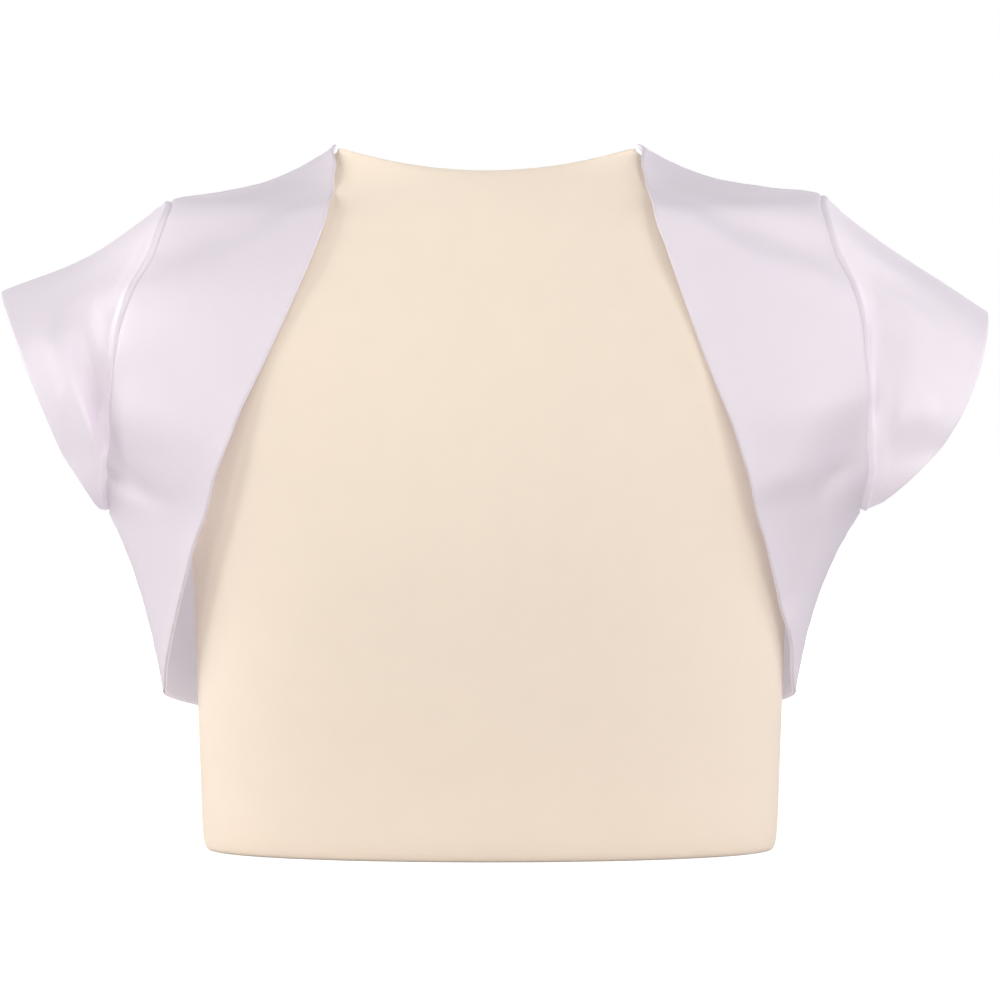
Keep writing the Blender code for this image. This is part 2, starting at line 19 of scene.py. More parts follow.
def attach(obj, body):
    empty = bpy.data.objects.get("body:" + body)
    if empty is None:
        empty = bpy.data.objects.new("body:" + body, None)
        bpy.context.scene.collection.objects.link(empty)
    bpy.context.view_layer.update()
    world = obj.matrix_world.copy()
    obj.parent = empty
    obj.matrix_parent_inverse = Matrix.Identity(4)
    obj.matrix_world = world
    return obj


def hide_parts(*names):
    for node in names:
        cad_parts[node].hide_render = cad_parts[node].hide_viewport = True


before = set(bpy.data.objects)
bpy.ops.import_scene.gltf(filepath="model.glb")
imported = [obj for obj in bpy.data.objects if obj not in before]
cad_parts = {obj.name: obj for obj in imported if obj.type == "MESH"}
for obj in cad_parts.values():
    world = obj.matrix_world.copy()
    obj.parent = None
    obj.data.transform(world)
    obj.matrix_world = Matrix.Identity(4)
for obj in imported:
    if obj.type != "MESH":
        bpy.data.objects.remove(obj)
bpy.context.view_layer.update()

bl_info = {
    "name": "Bolero Jacket on a Dress Form",
    "version": (1, 0, 0),
    "blender": (4, 5, 0),
    "location": "View3D > Sidebar > Bolero",
    "description": "Sews a child's satin bolero jacket onto a limbless dress form",
    "category": "Add Mesh",
}

MM = 0.001
DEGREE = math.pi / 180.0

# Where the pattern's own centre and zero height lie in the frame.
PATTERN_ORIGIN = Vector((0.0, -4.2, -6.0))

NECK_POINT_HEIGHT = 294.0
SHOULDER_TIP_HEIGHT = 270.8
ARMPIT_HEIGHT = 144.5
SIDE_HEM_HEIGHT = 69.0
BACK_NECK_LEVEL = 13.2
ARMHOLE_FRONT_DEPTH = 39.0
ARMHOLE_BACK_DEPTH = 43.0
ARMHOLE_NARROWING = 0.14
SLEEVE_HEM_DEPTH = 48.0
SLEEVE_HEM_BACK_SHIFT = 3.0
SLEEVE_UNDER_BACK_SHIFT = 2.0
SLEEVE_FULLNESS = 1.2

# The back neckline's two places between a neck point and the centre: the first so many levels
# below the neck point, and the second so many above the centre.
BACK_NECK_ANGLES = (108.0, 140.0)
BACK_NECK_FALL = 0.9
BACK_NECK_RISE = 0.5

# How fast the shape of a shoulder seam fades out on the way down.
SHOULDER_FADE = 2.5

Ring = namedtuple(
    "Ring",
    "name side_z front_z back_z front_width back_width front_depth back_depth ridge sway",
)

# The form's rings. Each has its height at the side, front and back, its half width, its
# depths to the front and back, how sharply it turns at the side, and how far it is shifted to
# the wearer's left.
FORM_RINGS = [
    # name          side_z front_z back_z width front  back  ridge  sway
    ("base_rim",        6.0,   6.0,   6.0, 112.5, 74.5, 74.0, 0.86,  0.0),
    ("base_edge",       9.5,   9.5,   9.5, 117.0, 79.0, 78.5, 0.86,  0.0),
    ("waist",          38.0,  38.0,  38.0, 118.5, 80.5, 79.5, 0.86,  0.0),
    ("ribs",           80.0,  80.0,  80.0, 120.0, 84.5, 82.5, 0.86,  0.0),
    ("chest",         120.0, 120.0, 120.0, 121.5, 88.0, 85.5, 0.86,  0.0),
    ("underarm",      150.0, 150.0, 150.0, 123.0, 87.5, 87.5, 0.86,  0.0),
    ("arm_low",       180.0, 179.0, 180.0, 126.0, 83.5, 88.5, 0.86,  0.0),
    ("arm_mid",       208.0, 205.0, 208.0, 128.5, 77.0, 87.5, 0.88,  0.0),
    ("arm_high",      232.0, 228.0, 233.0, 129.5, 67.5, 83.0, 0.93,  0.0),
    ("shoulder_edge", 251.0, 246.0, 253.0, 128.0, 58.0, 75.0, 1.05,  0.0),
    ("shoulder_tip",  265.9, 261.0, 267.4, 121.0, 51.0, 65.5, 1.30,  0.0),
    ("shoulder",      272.3, 269.2, 274.2, 104.5, 45.8, 56.4, 1.55,  0.0),
    ("shoulder_in",   277.6, 274.7, 277.5,  86.2, 42.2, 50.4, 1.60,  0.0),
    ("neck_base",     284.4, 278.4, 279.8,  71.2, 39.0, 45.8, 1.40, -0.6),
    ("neck_side",     290.2, 280.6, 280.9,  62.0, 36.4, 42.4, 1.15, -1.2),
    ("neck_crest",    292.2, 281.7, 281.8,  60.6, 33.8, 39.8, 1.00, -1.4),
    ("cap_edge",      291.4, 282.1, 282.0,  57.6, 31.2, 37.2, 1.00, -1.4),
    ("cap",           286.4, 281.7, 281.6,  39.0, 22.0, 27.0, 1.00, -1.4),
    ("cap_middle",    282.6, 281.4, 281.4,  18.0, 10.0, 12.0, 1.00, -1.2),
    ("cap_centre",    281.6, 281.4, 281.4,   5.0,  3.0,  3.0, 1.00, -1.0),
]

# The jacket's rings, on its outer face. Between the armpit and the shoulder tip the widths
# say how flat the fronts and the back run out to the armholes.
JACKET_RINGS = [
    # name          side_z front_z back_z front_w back_w front  back  ridge  sway
    ("under_hem",      25.0,  25.0,  25.0, 124.5, 124.5, 84.0, 86.0, 1.00, -4.0),
    ("hem",            55.0,  55.0,  55.0, 127.5, 127.5, 84.0, 90.0, 1.00, -4.2),
    ("low",            80.0,  80.0,  80.0, 131.0, 131.0, 84.0, 92.5, 1.00, -4.4),
    ("side",          105.0, 105.0, 105.0, 137.0, 137.0, 83.5, 94.5, 1.00, -4.2),
    ("high_side",     127.0, 127.0, 127.0, 145.0, 145.0, 82.0, 96.0, 1.00, -3.4),
    ("armpit",        145.0, 145.0, 145.0, 154.2, 154.2, 80.0, 97.0, 1.00, -2.2),
    ("arm_low",       165.0, 165.0, 165.0, 170.0, 165.0, 76.5, 97.5, 1.00, -1.0),
    ("arm_mid",       190.0, 190.0, 190.0, 182.0, 173.0, 72.0, 97.0, 1.00,  0.0),
    ("arm_high",      214.0, 213.0, 214.0, 181.0, 173.0, 68.5, 94.0, 1.00,  0.6),
    ("shoulder_low",  236.0, 233.0, 236.0, 170.0, 165.0, 64.0, 88.5, 1.00,  1.2),
    ("shoulder_edge", 254.0, 249.5, 254.5, 154.0, 151.0, 58.5, 79.5, 1.08,  2.0),
    ("shoulder_tip",  269.8, 263.5, 268.5, 134.5, 134.5, 52.5, 69.0, 1.25,  2.2),
    ("shoulder",      274.0, 271.5, 275.5, 112.0, 112.0, 47.5, 59.5, 1.45,  1.0),
    ("shoulder_in",   278.7, 276.5, 279.0,  91.0,  91.0, 44.0, 53.0, 1.55,  0.0),
    ("neck_base",     285.8, 281.0, 281.8,  74.8,  74.8, 41.5, 49.0, 1.40, -0.6),
    ("neck_side",     292.0, 284.4, 284.2,  64.2,  64.2, 39.5, 46.0, 1.15, -1.2),
    ("neck_top",      299.0, 289.0, 287.0,  57.0,  57.0, 38.0, 44.0, 1.00, -1.8),
]

# The curved front edges as they are seen from the front: how far out each is at a height on
# the wearer's left and right. Their last points go by angle.
EdgePoint = namedtuple("EdgePoint", "height left right")
FRONT_EDGE = [
    EdgePoint(288.5, 61.8, 63.2),
    EdgePoint(282.0, 62.6, 63.3),
    EdgePoint(274.0, 64.1, 63.8),
    EdgePoint(265.0, 66.0, 65.3),
    EdgePoint(250.0, 70.8, 70.0),
    EdgePoint(232.0, 76.8, 77.4),
    EdgePoint(212.0, 83.8, 86.4),
    EdgePoint(192.0, 91.4, 96.0),
    EdgePoint(172.0, 99.0, 104.5),
    EdgePoint(152.5, 104.6, 111.4),
    EdgePoint(136.0, 109.4, 116.6),
    EdgePoint(119.7, 114.0, 121.7),
    EdgePoint(103.0, 119.0, 126.4),
    EdgePoint(90.0, 122.6, 129.8),
]
HemPoint = namedtuple("HemPoint", "angle height")
FRONT_EDGE_END = [HemPoint(77.5, 79.0), HemPoint(81.5, 73.0), HemPoint(85.0, 70.3)]
BACK_HEM = [
    HemPoint(90.0, 69.0),
    HemPoint(108.0, 64.0),
    HemPoint(128.0, 58.5),
    HemPoint(153.0, 55.0),
    HemPoint(180.0, 54.0),
]

# Folds in the fronts and back: troughs are below zero and ridges above. Each runs from one
# angle, its turn, and height, its place, to another, with a depth at both ends. On side 1
# angles turn over the wearer's left, and on side -1 over the right.
Fold = namedtuple("Fold", "side turn_a place_a depth_a turn_b place_b depth_b width")
BODY_FOLDS = [
    Fold(-1, 57.0, 192.0, -0.8, 62.0, 162.0, -3.6, 7.5),
    Fold(-1, 68.0, 156.0, -3.0, 56.0, 150.0, -0.4, 5.5),
    Fold(-1, 44.0, 206.0, -0.3, 36.0, 178.0, -1.2, 6.0),
    Fold(-1, 42.0, 267.0, -4.0, 62.0, 245.0, -2.8, 13.0),
    Fold(-1, 36.0, 230.0, 0.6, 60.0, 208.0, 1.6, 13.0),
    Fold(-1, 36.0, 178.0, 0.8, 52.0, 182.0, 1.6, 14.0),
    Fold(1, 53.0, 204.0, -0.6, 60.0, 160.0, -4.2, 11.0),
    Fold(1, 42.0, 200.0, 0.4, 45.0, 160.0, 1.8, 10.0),
    Fold(1, 36.0, 185.0, 1.2, 53.0, 190.0, 2.2, 14.0),
    Fold(1, 63.0, 146.0, -1.2, 66.0, 112.0, -1.6, 12.0),
    Fold(1, 42.0, 264.0, -2.6, 66.0, 244.0, -2.2, 12.0),
    Fold(1, 38.0, 238.0, 0.6, 60.0, 218.0, 1.4, 13.0),
    Fold(1, 90.0, 283.0, 1.0, 90.0, 272.0, 2.6, 36.0),
    Fold(1, 90.0, 288.5, -0.9, 90.0, 285.0, -1.2, 7.0),
    Fold(-1, 118.0, 176.0, -3.4, 131.0, 142.0, -0.4, 10.0),
    Fold(1, 119.0, 172.0, -3.0, 133.0, 132.0, -0.4, 10.0),
    Fold(-1, 136.0, 128.0, 0.0, 139.0, 50.0, 3.2, 14.0),
    Fold(1, 141.0, 122.0, 0.0, 142.0, 50.0, 2.8, 14.0),
    Fold(1, 168.0, 150.0, 0.0, 163.0, 50.0, -2.8, 15.0),
    Fold(-1, 158.0, 140.0, 0.0, 161.0, 50.0, -2.4, 14.0),
    Fold(1, 156.0, 262.0, -1.2, 132.0, 238.0, -1.6, 13.0),
    Fold(-1, 158.0, 260.0, -1.4, 134.0, 234.0, -1.8, 13.0),
]

# Each sleeve: its hem's top, the way from the armpit to its hem, how far the hem's middle
# stands out, and how much the top line sags on its way from the shoulder. A higher sag power
# puts the sag farther out.
Sleeve = namedtuple(
    "Sleeve", "name side tip_out tip_height under_out under_up hem_bulge top_sag sag_power"
)
SLEEVES = [
    Sleeve("sleeve_left", 1, 203.5, 225.2, 8.5, 3.0, 8.0, 1.5, 1),
    Sleeve("sleeve_right", -1, 200.0, 233.5, 4.0, 0.5, 0.5, 4.4, 2),
]

# Folds in the sleeves, from one turn round the arm and reach along it, its place, to another.
SLEEVE_FOLDS = [
    Fold(-1, 60.0, 0.46, -2.6, 112.0, 0.20, -5.8, 8.5),
    Fold(-1, 70.0, 0.10, -1.4, 126.0, 0.06, -4.0, 6.0),
    Fold(-1, 116.0, 0.24, -1.0, 138.0, 0.22, -1.2, 6.0),
    Fold(-1, 66.0, 0.74, 1.8, 118.0, 0.52, 4.0, 9.0),
    Fold(-1, 62.0, 1.0, -2.0, 122.0, 1.0, -6.0, 18.0),
    Fold(-1, 74.0, 0.82, -0.9, 88.0, 0.76, -1.0, 3.6),
    Fold(1, 54.0, 0.12, -1.4, 112.0, 0.09, -3.4, 6.5),
    Fold(1, 56.0, 0.46, 0.6, 110.0, 0.46, 1.6, 8.0),
    Fold(1, 126.0, 0.34, 0.6, 100.0, 0.70, 2.2, 7.5),
    Fold(1, 64.0, 1.0, -1.0, 112.0, 1.0, -2.6, 16.0),
    Fold(1, 132.0, 0.55, -1.6, 112.0, 1.0, -3.2, 9.0),
    Fold(-1, 312.0, 0.45, -0.8, 262.0, 0.20, -3.0, 8.0),
    Fold(1, 316.0, 0.40, -1.0, 258.0, 0.22, -2.8, 8.0),
    Fold(-1, 232.0, 0.40, -1.0, 244.0, 1.0, -2.2, 8.0),
    Fold(1, 236.0, 0.35, -1.2, 246.0, 1.0, -2.0, 8.0),
]

# How many millimetres of cloth a degree or a whole reach stands for, where folds are laid.
BODY_DEGREE = 2.1
SLEEVE_DEGREE = 0.95
SLEEVE_LENGTH = 60.0
BODY_SCALE = (BODY_DEGREE, 1.0)
SLEEVE_SCALE = (SLEEVE_DEGREE, SLEEVE_LENGTH)

# How far along the sleeve its folds have come up to their whole depth.
SLEEVE_FOLDS_START = 0.08

# Lengths along the borders of the pieces, which set how many mesh edges they take, the shares
# of the borders on which neighbouring pieces agree, and how far from the end of a border its
# first mesh edges lie.
SHOULDER_LENGTH = 73.0
ARMHOLE_LENGTH = 150.0
SIDE_LENGTH = 78.0
NECK_LENGTH = 125.0
SHOULDER_PART = 13
ARMHOLE_PART = 18
SIDE_PART = 10
NECK_PART = 12
BACK_PARTS = 2 * SHOULDER_PART + NECK_PART
ROLL_STEPS = (0.0, 0.25, 0.6, 1.1, 1.8, 2.8)

# How near an armhole a body piece and a sleeve turn to share their way out of the cloth.
SHARED_WAY_REACH = 4.0

# A pressed allowance comes up over so many seam widths, stays up for a share of its own width
# and falls again over another share. The roll beside the seam has a place and a width.
ALLOWANCE_RISE = 1.5
ALLOWANCE_FLAT = 0.7
ALLOWANCE_FALL = 0.5
ROLL_PLACE = 1.6
ROLL_WIDTH = 0.9

# The small waves beside the seams, as lengths with their strengths, and where they lie. Then
# the lengths of the faint waves all over, and how far from a seam they have come up.
PUCKER_WAVES = ((6.5, 1.0), (3.1, 0.5))
PUCKER_PLACE = 3.0
PUCKER_WIDTH = 4.5
RIPPLE_LENGTHS = (30.0, 30.0, 52.0)
RIPPLE_START = 12.0

# Half of the thinnest wall, where an edge is rolled over.
LEAST_WALL = 0.12

# Painted light on the sleeves: an emission that stands in for the light shining through the thin
# cloth, from the first of two heights in metres to the second. It is strongest low down, with
# nothing behind the cloth, where it lifts the sleeves' shaded undersides.
SLEEVE_PAINTED_GLOW_HEIGHTS = (0.158, 0.208)
SLEEVE_PAINTED_GLOW_LOW = 0.21
SLEEVE_PAINTED_GLOW_HIGH = 0.07


def metres(name, description, default, least=0.0):
    """A property for a length in metres."""
    return FloatProperty(
        name=name, description=description, default=default, min=least, unit="LENGTH"
    )


def tint(name, description, *channels):
    """A property for an opaque colour."""
    return FloatVectorProperty(
        name=name, description=description, subtype="COLOR", size=4,
        default=(*channels, 1.0), min=0.0, max=1.0,
    )


class ClothSizes(bpy.types.PropertyGroup):
    """The cloth's walls, edges and seams."""

    thickness: metres("Thickness", "Satin and its lining together", 0.0011, 0.0004)
    edge_thickness: metres("Edge thickness", "The wall where the edge is turned in", 0.0016, 0.0004)
    edge_band: metres("Turned edge", "How far the turned edge reaches into the cloth", 0.0065, 0.001)
    seam_depth: metres("Seam depth", "How far both pieces sink at a seam", 0.0007)
    seam_width: metres("Seam width", "How fast a piece rises again beside its seam", 0.0009, 0.0002)
    allowance_height: metres(
        "Allowance height", "How far the pressed seam allowance lifts the cloth", 0.0006
    )
    allowance_width: metres(
        "Allowance width", "How wide the pressed seam allowance is", 0.0080, 0.001
    )
    seam_roll: metres("Seam roll", "How far a pressed seam rolls up close beside its line", 0.0007)
    pucker: metres("Pucker", "The height of the small waves beside the seams", 0.00020)
    ripple: metres("Ripple", "The height of the faint waves all over the cloth", 0.00030)
    mesh_step: metres("Mesh step", "The length of a mesh edge inside a piece", 0.0022, 0.001)


class ClothColours(bpy.types.PropertyGroup):
    """The colours of the cloth and of the form's cover."""

    satin: tint("Satin", "The satin's colour", 0.830, 0.778, 0.836)
    satin_warm: tint("Warm satin", "The satin where it is a little rosier", 0.835, 0.782, 0.818)
    lining: tint("Lining", "The inside of the cloth", 0.74, 0.73, 0.82)
    cover: tint("Form cover", "The jersey over the dress form", 0.955, 0.840, 0.680)


class StudioSizes(bpy.types.PropertyGroup):
    """The camera and the floor."""

    camera_distance: metres("Camera distance", "From the camera to the jacket", 2.4, 0.5)
    camera_elevation: FloatProperty(
        name="Camera elevation", description="How far the camera looks down",
        default=1.0 * DEGREE, subtype="ANGLE",
    )
    lens: FloatProperty(
        name="Lens", description="The focal length in millimetres", default=210.7, min=20.0,
    )
    floor_radius: metres("Floor radius", "The round floor's radius", 6.0, 1.0)


def spline(values, place):
    """The Catmull-Rom curve through evenly spaced values, at a place counted in values."""
    last = len(values) - 1
    place = min(max(place, 0.0), float(last))
    i = min(int(place), last - 1)
    t = place - i
    b, c = values[i], values[i + 1]
    a = values[i - 1] if i > 0 else 2 * b - c
    d = values[i + 2] if i + 2 <= last else 2 * c - b
    return b + 0.5 * t * (c - a + t * (2 * a - 5 * b + 4 * c - d + t * (3 * (b - c) + d - a)))


def bell(distance, width):
    """A soft bell that is 1 in the middle and fades out over a few widths."""
    return math.exp(-((distance / width) ** 2))


def smooth_step(share):
    """A share eased in and out."""
    share = min(max(share, 0.0), 1.0)
    return share * share * (3 - 2 * share)


def fold_at(fold, turn, place, scale):
    """How far a fold moves the cloth out at a turn and a height or reach."""
    here, a, b = (
        Vector((x * scale[0], y * scale[1]))
        for x, y in ((turn, place), (fold.turn_a, fold.place_a), (fold.turn_b, fold.place_b))
    )
    share = min(max((here - a).dot(b - a) / (b - a).length_squared, 0.0), 1.0)
    distance = (here - a.lerp(b, share)).length
    return (fold.depth_a + (fold.depth_b - fold.depth_a) * share) * bell(distance, fold.width)


class Skin:
    """A smooth surface through rings."""

    ANGLE_STEP = 0.8
    LEVEL_STEP = 0.02
    HALVINGS = 50

    def __init__(self, rings):
        self.columns = {
            column: [getattr(ring, column) for ring in rings]
            for column in Ring._fields
            if column != "name"
        }
        self.top = len(rings) - 1

    def size(self, column, level):
        return spline(self.columns[column], level)

    def point(self, angle, level):
        s, c = math.sin(angle * DEGREE), math.cos(angle * DEGREE)
        face = "front" if c >= 0 else "back"
        depth = self.size(face + "_depth", level) * abs(c) ** self.size("ridge", level)
        height = self.size("side_z", level) * s * s + self.size(face + "_z", level) * c * c
        x = self.size("sway", level) + self.size(face + "_width", level) * s
        return Vector((x, -depth if c >= 0 else depth, height))

    def normal(self, angle, level):
        turn, step = self.ANGLE_STEP, self.LEVEL_STEP
        level = min(max(level, step), self.top - step)
        round_it = self.point(angle + turn, level) - self.point(angle - turn, level)
        up = self.point(angle, level + step) - self.point(angle, level - step)
        return round_it.cross(up).normalized()

    def place(self, height, out=None, depth=None, face="front", side=1):
        """The (angle, level) at a height and at a distance out on a side, or at a depth."""

        def angle_at(level):
            if out is not None:
                share = (out - side * self.size("sway", level)) / self.size(face + "_width", level)
                angle = math.asin(min(share, 1.0)) / DEGREE
            else:
                share = abs(depth) / self.size(face + "_depth", level)
                angle = math.acos(min(share, 1.0) ** (1 / self.size("ridge", level))) / DEGREE
            return angle if face == "front" else 180.0 - angle

        low, high = 0.0, float(self.top)
        for _ in range(self.HALVINGS):
            middle = (low + high) / 2
            if self.point(angle_at(middle), middle).z < height:
                low = middle
            else:
                high = middle
        return Vector((angle_at(low), low))


def form_ring(name, side_z, front_z, back_z, width, front, back, ridge, sway):
    return Ring(name, side_z, front_z, back_z, width, width, front, back, ridge, sway)


FORM = Skin([form_ring(*row) for row in FORM_RINGS])
JACKET = Skin([Ring(*row) for row in JACKET_RINGS])


class Stretch:
    """A smooth line on a skin through (angle, level) points, walked by its share of length."""

    STEPS = 16

    def __init__(self, skin, points):
        count = self.STEPS * (len(points) - 1)
        self.walked = [
            Vector([spline([p[k] for p in points], i / self.STEPS) for k in (0, 1)])
            for i in range(count + 1)
        ]
        self.along = [0.0]
        for a, b in zip(self.walked, self.walked[1:]):
            self.along.append(self.along[-1] + (skin.point(*b) - skin.point(*a)).length)

    def at(self, share):
        """The (angle, level) there."""
        target = min(max(share, 0.0), 1.0) * self.along[-1]
        for i in range(1, len(self.along)):
            if self.along[i] >= target:
                span = self.along[i] - self.along[i - 1]
                part = (target - self.along[i - 1]) / span if span > 1e-9 else 0.0
                return self.walked[i - 1].lerp(self.walked[i], part)
        return self.walked[-1].copy()


class Border:
    """Stretches laid end to end, each taking its part of the border's shares."""

    def __init__(self, *stretches):
        self.stretches = [(Stretch(JACKET, points), part) for points, part in stretches]
        self.whole = sum(part for _, part in self.stretches)

    @cache
    def at(self, share):
        place = share * self.whole
        for stretch, part in self.stretches:
            if place <= part + 1e-6:
                return stretch.at(place / part).freeze()
            place -= part
        return self.stretches[-1][0].at(1.0).freeze()


def hem_place(point):
    """The (angle, level) of a point of the hem, below which the rings lie flat."""
    return Vector((point.angle, JACKET.place(point.height, depth=0.0)[1]))


def armhole_points(face, half_depth, rows=12):
    """The armhole's (angle, level) points on the front or the back, from shoulder to armpit."""
    middle = (SHOULDER_TIP_HEIGHT + ARMPIT_HEIGHT) / 2
    half = (SHOULDER_TIP_HEIGHT - ARMPIT_HEIGHT) / 2
    found = []
    for i in range(rows + 1):
        turn = math.pi * i / rows
        depth = half_depth * math.sin(turn) * (1 - ARMHOLE_NARROWING * math.cos(turn))
        found.append(JACKET.place(middle + half * math.cos(turn), depth=depth, face=face))
    return found


def turned_over(points):
    """The same (angle, level) points on the wearer's other side."""
    return [Vector((360.0 - p[0], p[1])) for p in points]


NECK_POINT = JACKET.place(NECK_POINT_HEIGHT, depth=0.0)
SIDE_HEM = JACKET.place(SIDE_HEM_HEIGHT, depth=0.0)
FRONT_ARMHOLE = armhole_points("front", ARMHOLE_FRONT_DEPTH)
BACK_ARMHOLE = armhole_points("back", ARMHOLE_BACK_DEPTH)
SHOULDER_TIP, ARMPIT = FRONT_ARMHOLE[0], FRONT_ARMHOLE[-1]


def coons(top, bottom, left, right):
    """A function of two shares that fills the four borders with a Coons patch.

    The top border's shape fades fast on the way down, which keeps the rows from crossing
    where an armhole runs into the side seam.
    """

    def at(u, v):
        fade = (1 - v) ** SHOULDER_FADE
        edges = top.at(u) * fade + bottom.at(u) * (1 - fade)
        edges += left.at(v) * (1 - u) + right.at(v) * u
        corners = (top.at(0) * (1 - u) + top.at(1) * u) * fade
        corners += (bottom.at(0) * (1 - u) + bottom.at(1) * u) * (1 - fade)
        return edges - corners

    return at


def front_patch(side):
    outs = [p.left if side == 1 else p.right for p in FRONT_EDGE]
    edge = [JACKET.place(p.height, out=out, side=side) for p, out in zip(FRONT_EDGE, outs)]
    end = [hem_place(p) for p in FRONT_EDGE_END]
    rows = ARMHOLE_PART + SIDE_PART
    return coons(
        Border(([NECK_POINT, SHOULDER_TIP], SHOULDER_PART)),
        Border(([end[-1], SIDE_HEM], SHOULDER_PART)),
        Border(([NECK_POINT, *edge, *end], rows)),
        Border((FRONT_ARMHOLE, ARMHOLE_PART), ([ARMPIT, SIDE_HEM], SIDE_PART)),
    )


def back_patch():
    neck = [
        NECK_POINT,
        Vector((BACK_NECK_ANGLES[0], NECK_POINT[1] - BACK_NECK_FALL)),
        Vector((BACK_NECK_ANGLES[1], BACK_NECK_LEVEL + BACK_NECK_RISE)),
        Vector((180.0, BACK_NECK_LEVEL)),
    ]
    neck += turned_over(reversed(neck[:-1]))
    hem = [hem_place(point) for point in BACK_HEM]
    hem += turned_over(reversed(hem[:-1]))
    shoulder = [SHOULDER_TIP, NECK_POINT]
    side = [ARMPIT, SIDE_HEM]
    return coons(
        Border(
            (shoulder, SHOULDER_PART),
            (neck, NECK_PART),
            (turned_over(reversed(shoulder)), SHOULDER_PART),
        ),
        Border((hem, BACK_PARTS)),
        Border((BACK_ARMHOLE, ARMHOLE_PART), (side, SIDE_PART)),
        Border((turned_over(BACK_ARMHOLE), ARMHOLE_PART), (turned_over(side), SIDE_PART)),
    )


def body_fold(angle, height):
    """How far the folds move the jacket's body out at an angle and a height."""
    return sum(
        fold_at(fold, (fold.side * angle) % 360.0, height, BODY_SCALE) for fold in BODY_FOLDS
    )


def jacket_point(angle, level):
    """A point of the jacket's outer face, folds included."""
    base = JACKET.point(angle, level)
    return base + JACKET.normal(angle, level) * body_fold(angle, base.z)


class SleeveShape:
    """The outer face of one sleeve, worked out on the wearer's left and mirrored if need be.

    A turn goes round the arm from the shoulder (0) over the front (90) and the underarm
    (180) to the back (270). A reach goes from the armhole (0) to the hem (1).
    """

    FRONT = Stretch(JACKET, FRONT_ARMHOLE)
    BACK = Stretch(JACKET, BACK_ARMHOLE)
    TURN_STEP = 1.0
    REACH_STEP = 0.03

    def __init__(self, sleeve):
        self.sleeve = sleeve
        self.side = sleeve.side
        armpit = self.armhole(180.0)
        tip = Vector((sleeve.tip_out, SLEEVE_HEM_BACK_SHIFT, sleeve.tip_height))
        under = armpit + Vector((sleeve.under_out, SLEEVE_UNDER_BACK_SHIFT, sleeve.under_up))
        self.middle, self.up = (tip + under) / 2, (tip - under) / 2
        self.outward = Vector((self.up.z, 0.0, -self.up.x)).normalized()

    def mirror(self, point):
        return Vector((point.x * self.side, point.y, point.z))

    @cache
    def armhole_place(self, turn):
        turn %= 360.0
        trail, share = (self.FRONT, turn / 180) if turn <= 180 else (self.BACK, 2 - turn / 180)
        angle, level = trail.at(share)
        return self.side * angle, level

    @cache
    def armhole(self, turn):
        return self.mirror(jacket_point(*self.armhole_place(turn))).freeze()

    @cache
    def onward(self, turn):
        """The way on from the cloth of the body across the armhole."""
        tangent = self.armhole(turn + self.TURN_STEP) - self.armhole(turn - self.TURN_STEP)
        body = self.mirror(JACKET.normal(*self.armhole_place(turn)))
        way = body.cross(tangent).normalized()
        if way.dot(self.hem(turn) - self.armhole(turn)) < 0:
            way.negate()
        return way.freeze()

    def hem(self, turn):
        s, c = math.sin(turn * DEGREE), math.cos(turn * DEGREE)
        across = Vector((0.0, -SLEEVE_HEM_DEPTH * s, 0.0))
        return self.middle + self.up * c + across + self.outward * self.sleeve.hem_bulge * s * s

    def smooth(self, turn, reach):
        """The sleeve without its folds, its top line sagging by top_sag where it is deepest."""
        start, chord = self.armhole(turn), self.hem(turn) - self.armhole(turn)
        fullness = SLEEVE_FULLNESS * math.sin(turn * DEGREE) ** 2
        lift = (self.onward(turn) * chord.length - chord) * fullness * reach * (1 - reach) ** 2
        shoulder = max(math.cos(turn * DEGREE), 0.0) ** 2
        power = self.sleeve.sag_power
        deepest = (power / (power + 2)) ** power * (2 / (power + 2)) ** 2
        sag = self.sleeve.top_sag * shoulder * reach ** power * (1 - reach) ** 2 / deepest
        return start + chord * reach + lift - Vector((0.0, 0.0, sag))

    def normal(self, turn, reach):
        low, high = max(reach - self.REACH_STEP, 0.0), min(reach + self.REACH_STEP, 1.0)
        before, after = turn - self.TURN_STEP, turn + self.TURN_STEP
        round_it = self.smooth(after, reach) - self.smooth(before, reach)
        out = self.smooth(turn, high) - self.smooth(turn, low)
        return round_it.cross(out).normalized()

    def fold_height(self, turn, reach):
        folds = [fold for fold in SLEEVE_FOLDS if fold.side == self.side]
        total = sum(fold_at(fold, turn, reach, SLEEVE_SCALE) for fold in folds)
        return total * min(reach / SLEEVE_FOLDS_START, 1.0)

    def seam_way(self, turn):
        """The way out of the cloth at the armhole, shared with the body piece beside it."""
        body = self.mirror(JACKET.normal(*self.armhole_place(turn)))
        arm = self.normal(turn, 0.0)
        return self.mirror((body + arm).normalized())


SHAPES = {sleeve.side: SleeveShape(sleeve) for sleeve in SLEEVES}


class Lines:
    """Points along seams or free edges, with a value kept for each, to measure from."""

    def __init__(self, points, values=None):
        self.values = values or [None] * len(points)
        self.tree = kdtree.KDTree(len(points))
        for i, point in enumerate(points):
            self.tree.insert(point, i)
        self.tree.balance()

    def nearest(self, point):
        """The distance to the line, its nearest point and the value kept there."""
        found, index, distance = self.tree.find(point)
        return distance, found, self.values[index]


def shares(*stretches):
    """Shares along a border: close together at both ends of each stretch and even between.

    Each stretch is its length and its part of the border.
    """
    step = bpy.context.scene.bolero_cloth.mesh_step / MM
    whole = sum(part for _, part in stretches)
    found, start = [], 0.0
    for length, part in stretches:
        near = ROLL_STEPS[-1]
        count = round((length - 2 * near) / step)
        places = [near + (length - 2 * near) * i / count for i in range(1, count)]
        places = [*ROLL_STEPS, *places, *(length - d for d in reversed(ROLL_STEPS))]
        found += [(start + place / length * part) / whole for place in places[:-1]]
        start += part
    return found + [1.0]


Spot = namedtuple("Spot", "point way grain")


